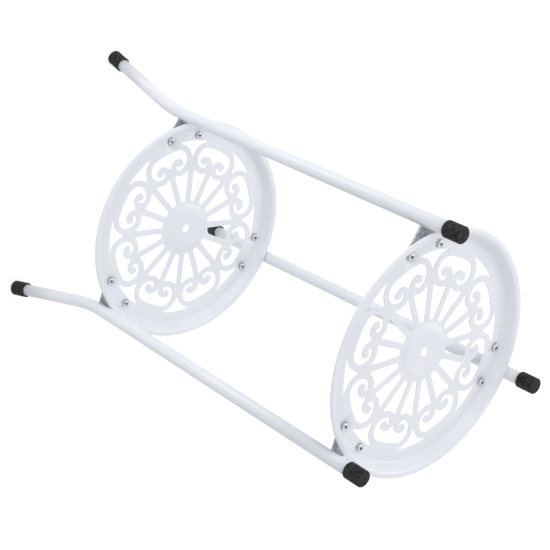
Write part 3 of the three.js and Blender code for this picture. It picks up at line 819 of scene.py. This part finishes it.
def leg_stations():
    """Points down the tube's axis, each with the direction square to it, outwards."""
    top = AT_HIGH_DECK + LEG_UP * LEG_TOP_ABOVE_DECK
    bend_start = AT_LOW_DECK + LEG_UP * BEND_START_ABOVE_DECK
    bend_centre = bend_start + LEG_OUT * BEND_RADIUS
    stations = [(top, LEG_OUT)]
    for i in range(BEND_STEPS + 1):
        angle = FLARE_ANGLE * i / BEND_STEPS
        out = LEG_OUT * math.cos(angle) + LEG_UP * math.sin(angle)
        stations.append((bend_centre - out * BEND_RADIUS, out))
    last, out = stations[-1]
    stations.append((last + FOOT_DOWN * FOOT_LENGTH, out))
    return stations


STATIONS = leg_stations()


def make_leg(name, placed):
    surface = Surface()
    layers = []
    for radius in (TUBE_RADIUS, TUBE_RADIUS - TUBE_WALL):
        rings = []
        for point, out in STATIONS:
            circle_points = [
                point + out * (radius * p.real) + LEG_SIDE * (radius * p.imag)
                for p in ring_points(1, TUBE_SIDES)
            ]
            rings.append(surface.free_ring(circle_points))
        layers.append(rings)
    outer, inner = layers
    surface.bridge_all(outer[::-1])
    surface.bridge_all(inner)
    surface.bridge(outer[0], inner[0])
    surface.bridge(inner[-1], outer[-1])
    return surface.object(name, placed)


def cap_profile():
    """Radius + height * 1j: the cap's mouth is at height 0 and its closed end at its length."""
    flare = [complex(CAP_BORE_RADIUS + opening, height) for opening, height in CAP_MOUTH_FLARE]
    mouth_round = [
        complex(CAP_RADIUS - inset, drop)
        for inset, drop in quarter_round(CAP_MOUTH_ROUND, CAP_MOUTH_ROUND, CAP_MOUTH_STEPS)
    ]
    end_round = [
        complex(CAP_RADIUS - inset, CAP_LENGTH - drop)
        for inset, drop in reversed(quarter_round(CAP_END_ROUND, CAP_END_ROUND, CAP_END_STEPS))
    ]
    inner_end = CAP_LENGTH - CAP_FLOOR
    return [
        complex(ON_AXIS, inner_end),
        complex(CAP_BORE_RADIUS - CAP_BORE_CORNER, inner_end),
        complex(CAP_BORE_RADIUS, inner_end - CAP_BORE_CORNER),
        *flare,
        *mouth_round,
        *end_round,
        complex(CAP_RADIUS - CAP_END_ROUND - FLAT_MARGIN, CAP_LENGTH),
        complex(CAP_RADIUS / 2, CAP_LENGTH),
        complex(ON_AXIS, CAP_LENGTH),
    ]


def make_cap(name, tube_end, direction, placed, lowest=None):
    """A cap pushed over the tube's end, cut flat at its lowest height if one is given."""
    surface = Surface()
    mouth = tube_end - direction * (CAP_LENGTH - CAP_FLOOR - CAP_END_GAP)
    out = LEG_SIDE.cross(direction).normalized()
    rings = []
    for p in cap_profile():
        circle_points = [
            mouth + direction * p.imag + out * q.real + LEG_SIDE * q.imag
            for q in ring_points(p.real, TUBE_SIDES)
        ]
        rings.append(surface.free_ring(circle_points))
    surface.bridge_all(rings)
    surface.cap(rings[0][::-1])
    surface.cap(rings[-1])
    if lowest is not None:
        for point in surface.points:
            point.z = max(point.z, lowest)
    return surface.object(name, placed)


# ---- Brackets and their welds ------------------------------------------------------------------


def bracket_outline():
    """Half the plate's outline, from the neck round the screw's corner to the inner edge."""
    screw = cmath.rect(SCREW_CIRCLE_RADIUS, SCREW_HALF_ANGLE)
    neck = complex(BRACKET_SADDLE_WRAP, BRACKET_NECK_HALF_WIDTH)
    gap = neck - screw
    slope = math.atan2(-gap.imag, gap.real)
    lift = math.asin(BRACKET_CORNER_RADIUS / abs(gap))
    tangent = math.pi / 2 - slope + lift
    return [
        neck,
        *arc(screw, BRACKET_CORNER_RADIUS, tangent, BRACKET_CORNER_END),
        complex(BRACKET_INNER_EDGE, screw.imag - BRACKET_CORNER_RUN),
    ]


def saddle_angles(outline, leg):
    """Where the notch round the leg meets the plate's two sides, seen from the leg's centre."""
    saddle = TUBE_RADIUS + BRACKET_SADDLE_GAP
    angles = []
    for neck, corner_start in ((outline[0], outline[1]), (outline[-1], outline[-2])):
        for i in range(SADDLE_SEARCH_STEPS):
            point = neck + (corner_start - neck) * i / SADDLE_SEARCH_STEPS
            if abs(point - leg) > saddle:
                angles.append(cmath.phase(point - leg) % TURN)
                break
    return angles


def make_bracket(name, leg, placed):
    """The plate, notched round the leg, whose centre is given in the plate's frame."""
    half = bracket_outline()
    outline = joined(half, mirrored(half))
    saddle = TUBE_RADIUS + BRACKET_SADDLE_GAP
    upper, lower = saddle_angles(outline, leg)
    clear = [p for p in outline if abs(p - leg) > saddle]
    points = joined(clear, arc(leg, saddle, lower, upper))
    surface = Surface()
    profile = edge_profile(
        BRACKET_THICKNESS, 0.0, BRACKET_EDGE, BRACKET_EDGE, BRACKET_EDGE_STEPS
    )
    rings = [surface.ring(grown(points, -inset), height) for inset, height in profile]
    surface.bridge_all(rings[::-1])
    top_holes, bottom_holes = [], []
    screw = cmath.rect(SCREW_CIRCLE_RADIUS, SCREW_HALF_ANGLE)
    for centre in (screw, screw.conjugate()):
        hole = ring_points(SCREW_HOLE_RADIUS, SCREW_HOLE_SIDES, centre)
        mouth = surface.ring(hole, BRACKET_THICKNESS)
        foot = surface.ring(hole, 0)
        surface.bridge(foot[::-1], mouth[::-1])
        top_holes.append(mouth)
        bottom_holes.append(foot)
    surface.fill(rings[0], top_holes, True)
    surface.fill(rings[-1], bottom_holes, False)
    return surface.object(name, placed)


def make_weld(name, leg, placed):
    """A rippled bead along the notch, where one of the plate's faces meets the leg."""
    half = bracket_outline()
    upper, lower = saddle_angles(joined(half, mirrored(half)), leg)
    surface = Surface()
    rings = []
    reach = TUBE_RADIUS + BRACKET_SADDLE_GAP
    for i in range(WELD_STEPS + 1):
        angle = lower + (upper - lower) * i / WELD_STEPS
        along = reach * (angle - lower)
        from_middle = 2 * i / WELD_STEPS - 1
        taper = math.sqrt(max(WELD_END_SHARE, 1 - from_middle**WELD_END_POWER))
        ripple = WELD_RIPPLE * math.sin(TURN * along / WELD_SPACING)
        radius = (WELD_RADIUS + ripple) * taper
        centre = leg + cmath.rect(reach, angle)
        out = cmath.rect(1, angle)
        ring = []
        for q in ring_points(radius, WELD_SIDES):
            spot = centre + out * q.real
            ring.append((spot.real, spot.imag, q.imag))
        rings.append(surface.free_ring(ring))
    surface.bridge_all(rings)
    surface.cap(rings[0][::-1])
    surface.cap(rings[-1])
    return surface.object(name, placed)


# ---- Screws and nuts ---------------------------------------------------------------------------


def crown_height(radius):
    """Height of a pan head's domed top at a distance from its middle."""
    share = min(1.0, radius / HEAD_RADIUS)
    dome = math.sqrt(max(0.0, 1 - share**CROWN_POWER))
    return HEAD_SIDE_HEIGHT + (HEAD_HEIGHT - HEAD_SIDE_HEIGHT) * dome


def cross_ring(surface, scale, height):
    """The outline of a cross recess, with its height given by the distance from the middle."""
    reach, half_width = RECESS_REACH * scale, RECESS_HALF_WIDTH * scale
    inner = complex(half_width, half_width) * RECESS_INNER_CORNER
    points = []
    for quarter_turn in (1, 1j, 1j**2, 1j**3):
        for point in (complex(reach, -half_width), complex(reach, half_width), inner):
            points.append(quarter_turn * point)
    return surface.free_ring([(p.real, p.imag, height(abs(p))) for p in points])


def make_screw(name, placed):
    """Pan head with a cross recess. The head's underside is at height 0.

    Also returns the number of the recess's first face.
    """
    surface = Surface()

    def level(radius, height):
        return surface.ring(ring_points(radius, SCREW_SIDES), height)

    shank = [level(SHANK_RADIUS, 0)]
    root_radius = SHANK_RADIUS - THREAD_DEPTH
    pitch = SHANK_LENGTH / THREAD_TURNS
    for i in range(THREAD_TURNS):
        shank.append(level(SHANK_RADIUS, -pitch * (i + THREAD_CREST_SHARE)))
        shank.append(level(root_radius, -pitch * (i + THREAD_ROOT_SHARE)))
    shank.append(level(root_radius, -SHANK_LENGTH))
    surface.bridge_all(shank[::-1])
    surface.cap(shank[-1][::-1])

    head = [
        level(HEAD_RADIUS - HEAD_UNDER_ROUND, 0),
        level(HEAD_RADIUS, HEAD_UNDER_ROUND),
        level(HEAD_RADIUS, HEAD_SIDE_HEIGHT * HEAD_STRAIGHT_SHARE),
    ]
    for share in CROWN_SHARES:
        radius = HEAD_RADIUS * share
        head.append(level(radius, crown_height(radius)))
    surface.bridge(shank[0], head[0])
    surface.bridge_all(head)

    mouth = cross_ring(surface, 1, crown_height)
    surface.fill(head[-1], [mouth], True)
    first_recess_face = len(surface.faces)
    waist = cross_ring(surface, RECESS_WAIST, lambda _: HEAD_HEIGHT - RECESS_WAIST_DEPTH)
    surface.bridge(waist[::-1], mouth[::-1])
    deepest = surface.free_ring([(0, 0, HEAD_HEIGHT - RECESS_DEPTH)])[0]
    for i, index in enumerate(waist):
        surface.faces.append((deepest, index, waist[(i + 1) % len(waist)]))
    made = surface.object(name, placed)
    made.data.set_sharp_from_angle(angle=SCREW_SHARP_ANGLE)
    return made, first_recess_face


def make_nut(name, placed):
    """Hexagon nut with chamfered corners. Its upper face is at height 0."""
    surface = Surface()
    sides = NUT_SIDES * NUT_STEPS_PER_SIDE
    side_angle = TURN / NUT_SIDES
    chamfer_circle = NUT_ACROSS_FLATS / 2 * NUT_CHAMFER_SHARE
    hexagon = []
    for i in range(sides):
        angle = TURN * i / sides
        within = angle % side_angle - side_angle / 2
        hexagon.append(cmath.rect(NUT_ACROSS_FLATS / 2 / math.cos(within), angle))
    fall = [max(0.0, (abs(p) - chamfer_circle) * NUT_CHAMFER_SLOPE) for p in hexagon]
    upper_edge = [(p.real, p.imag, -f) for p, f in zip(hexagon, fall)]
    lower_edge = [(p.real, p.imag, f - NUT_THICKNESS) for p, f in zip(hexagon, fall)]
    mouth = NUT_BORE_RADIUS + NUT_MOUTH
    rings = [
        surface.ring(ring_points(NUT_BORE_RADIUS, sides), NUT_MOUTH - NUT_THICKNESS),
        surface.ring(ring_points(mouth, sides), -NUT_THICKNESS),
        surface.ring(ring_points(chamfer_circle, sides), -NUT_THICKNESS),
        surface.free_ring(lower_edge),
        surface.free_ring(upper_edge),
        surface.ring(ring_points(chamfer_circle, sides), 0),
        surface.ring(ring_points(mouth, sides), 0),
        surface.ring(ring_points(NUT_BORE_RADIUS, sides), -NUT_MOUTH),
    ]
    surface.bridge_all(rings)
    surface.bridge(rings[-1], rings[0])
    made = surface.object(name, placed)
    made.data.set_sharp_from_angle(angle=NUT_SHARP_ANGLE)
    return made


# ---- Assembly ----------------------------------------------------------------------------------


def add_leg(number):
    placed = placed_at(0, 0, 0, FIRST_LEG_ANGLE + TURN * (number - 1) / LEG_COUNT)
    tube_top, tube_foot = STATIONS[0][0], STATIONS[-1][0]
    leg = make_leg(f"leg_{number}_tube", placed)
    settle(leg, "white_paint", f"leg_{number}")
    cap = make_cap(f"top_cap_{number}_rubber", tube_top, LEG_UP, placed)
    settle(cap, "black_rubber", f"top_cap_{number}")
    cap = make_cap(f"foot_cap_{number}_rubber", tube_foot, FOOT_DOWN, placed, FLOOR_HEIGHT)
    settle(cap, "black_rubber", f"foot_cap_{number}")


def add_bracket(tier, number, leg, bottom, middle):
    """A bracket and its two weld beads."""
    placed = placed_at(0, 0, bottom, middle)
    bracket = make_bracket(f"{tier}_bracket_{number}_plate", leg, placed)
    settle(bracket, "grey_steel", f"{tier}_bracket_{number}")
    for face, height in (("lower", 0.0), ("upper", BRACKET_THICKNESS)):
        placed = placed_at(0, 0, bottom + height, middle)
        weld = make_weld(f"{tier}_bracket_{number}_{face}_weld", leg, placed)
        settle(weld, "grey_steel")


def add_screw(tier, number, label, bracket_bottom, angle):
    """A screw and its nut."""
    spot = cmath.rect(SCREW_CIRCLE_RADIUS, angle)
    placed = placed_at(spot.real, spot.imag, DECK[tier], angle)
    name = f"{tier}_screw_{number}_{label}"
    screw, first_recess_face = make_screw(f"{name}_pan_head", placed)
    settle(screw, "zinc_steel", name)
    # The recess faces take the painted shade, a near-black colour in place of the shade inside the
    # cross.
    screw.data.materials.append(RECESS_PAINTED_SHADE)
    for face in screw.data.polygons[first_recess_face:]:
        face.material_index = 1
    placed = placed_at(spot.real, spot.imag, bracket_bottom, angle)
    name = f"{tier}_nut_{number}_{label}"
    nut = make_nut(f"{name}_hex", placed)
    settle(nut, "zinc_steel", name)


def add_tier(tier):
    """A tray with the brackets, screws and nuts that hold it."""
    tray_angle = FIRST_LEG_ANGLE + TRAY_TURN[tier]
    tray = make_tray(f"{tier}_tray_pierced", placed_at(0, 0, DECK[tier], tray_angle))
    settle(tray, "white_paint", f"{tier}_tray")
    bracket_bottom = DECK[tier] - SHEET - BRACKET_THICKNESS
    climb = (bracket_bottom + BRACKET_THICKNESS / 2 - LOWER_DECK) / LEG_UP.z
    leg_here = AT_LOW_DECK + LEG_UP * climb
    leg_in_tray = complex(leg_here.x, leg_here.y) * cmath.rect(1, -TRAY_TURN[tier])
    for i in range(LEG_COUNT):
        number = i + 1
        middle = tray_angle + TURN * i / LEG_COUNT
        add_bracket(tier, number, leg_in_tray, bracket_bottom, middle)
        for label, side in (("right", -1), ("left", 1)):
            angle = middle + side * SCREW_HALF_ANGLE
            add_screw(tier, number, label, bracket_bottom, angle)


for number in range(1, LEG_COUNT + 1):
    add_leg(number)
for tier in TIERS:
    add_tier(tier)

# ---- Floor, light and camera -------------------------------------------------------------------

FLOOR_RADIUS = 6000
FLOOR_SIDES = 64
FLOOR_DROP = 0.2
FLOOR_SHADE = 0.30
FLOOR_GLOW = 0.79
AMBIENT = 0.65

# Metres
LAMP_DISTANCE = 2.6
LAMP_SIZE = 1.6

# Each lamp's direction from the stand and its power in watts.
LAMPS = {
    "key": ((-0.35, 0.85, 0.1), 21),
    "high_left": ((0, 0.75, 0.65), 8),
    "high_front": ((0.75, 0, 0.65), 13),
    "high_right": ((0, -0.75, 0.65), 8),
}

CAMERA_AIM = Vector((1.16, -29.3, 349.8))
CAMERA_DISTANCE = 1703.6
CAMERA_AZIMUTH = math.radians(144.04)
CAMERA_ELEVATION = math.radians(43.33)
CAMERA_ROLL = math.radians(117.39)
CAMERA_LENS = 88.9
CAMERA_SENSOR = 36
CAMERA_CLIP_METRES = (0.01, 50)


def seen_directly(nodes, links):
    """1 for camera and glossy rays, 0 for the rays that only carry light."""
    path = nodes.new("ShaderNodeLightPath")
    seen = nodes.new("ShaderNodeMath")
    seen.operation = "MAXIMUM"
    links.new(path.outputs["Is Camera Ray"], seen.inputs[0])
    links.new(path.outputs["Is Glossy Ray"], seen.inputs[1])
    return seen.outputs["Value"]


def floor_material():
    """Pale floor. Camera and glossy rays see it as white, with a faint shadow of the stand."""
    finish = Finish("studio_floor")
    nodes, links = finish.nodes, finish.links
    grain = finish.noise(scale=40, detail=3)
    finish.tones(grain, dark=(0.80, 0.80, 0.80), light=(0.84, 0.84, 0.84))
    finish.shader.inputs["Roughness"].default_value = 0.9
    finish.shader.inputs["Specular IOR Level"].default_value = 0.1
    shade = nodes.new("ShaderNodeBsdfDiffuse")
    shade.inputs["Color"].default_value = (FLOOR_SHADE, FLOOR_SHADE, FLOOR_SHADE, 1)
    glow = nodes.new("ShaderNodeEmission")
    glow.inputs["Color"].default_value = (1, 1, 1, 1)
    glow.inputs["Strength"].default_value = FLOOR_GLOW
    white = nodes.new("ShaderNodeAddShader")
    links.new(shade.outputs["BSDF"], white.inputs[0])
    links.new(glow.outputs["Emission"], white.inputs[1])
    total = nodes.new("ShaderNodeMixShader")
    links.new(seen_directly(nodes, links), total.inputs["Fac"])
    links.new(finish.shader.outputs["BSDF"], total.inputs[1])
    links.new(white.outputs["Shader"], total.inputs[2])
    links.new(total.outputs["Shader"], nodes["Material Output"].inputs["Surface"])
    return finish.material


def make_floor():
    surface = Surface()
    surface.cap(surface.ring(ring_points(FLOOR_RADIUS, FLOOR_SIDES), -FLOOR_DROP))
    made = surface.object("floor", smooth=False)
    made.data.materials.append(floor_material())
    return made


def light_world():
    """An even white sky, dimmer for the rays that carry light than for those that see it."""
    world = bpy.data.worlds.new("studio")
    bpy.context.scene.world = world
    world.use_nodes = True
    nodes, links = world.node_tree.nodes, world.node_tree.links
    level = nodes.new("ShaderNodeMapRange")
    level.inputs["To Min"].default_value = AMBIENT
    level.inputs["To Max"].default_value = 1.0
    links.new(seen_directly(nodes, links), level.inputs["Value"])
    links.new(level.outputs["Result"], nodes["Background"].inputs["Strength"])
    nodes["Background"].inputs["Color"].default_value = (1, 1, 1, 1)


def soft_light(name, direction, power):
    """A large square lamp that looks at the stand's middle."""
    lamp = bpy.data.lights.new(name, "AREA")
    lamp.shape = "SQUARE"
    lamp.size = LAMP_SIZE
    lamp.energy = power
    made = bpy.data.objects.new(name, lamp)
    bpy.context.scene.collection.objects.link(made)
    towards = Vector(direction).normalized()
    made.location = CAMERA_AIM * MM + towards * LAMP_DISTANCE
    made.rotation_mode = "QUATERNION"
    made.rotation_quaternion = towards.to_track_quat("Z", "Y")


def place_camera():
    """The photograph's camera. The stand is upright here, so the camera is rolled."""
    away = Vector((
        math.cos(CAMERA_ELEVATION) * math.cos(CAMERA_AZIMUTH),
        math.cos(CAMERA_ELEVATION) * math.sin(CAMERA_AZIMUTH),
        math.sin(CAMERA_ELEVATION),
    ))
    data = bpy.data.cameras.new("camera")
    data.sensor_width = CAMERA_SENSOR
    data.lens = CAMERA_LENS
    data.clip_start, data.clip_end = CAMERA_CLIP_METRES
    camera = bpy.data.objects.new("camera", data)
    bpy.context.scene.collection.objects.link(camera)
    camera.matrix_world = (
        Matrix.Translation((CAMERA_AIM + away * CAMERA_DISTANCE) * MM)
        @ away.to_track_quat("Z", "Y").to_matrix().to_4x4()
        @ Matrix.Rotation(CAMERA_ROLL, 4, "Z")
    )
    bpy.context.scene.camera = camera


floor = make_floor()
light_world()
place_camera()
for name, (direction, power) in LAMPS.items():
    soft_light(name, direction, power)

# ---- View transform ----------------------------------------------------------------------------

scene = bpy.context.scene
scene.view_settings.view_transform = "Standard"
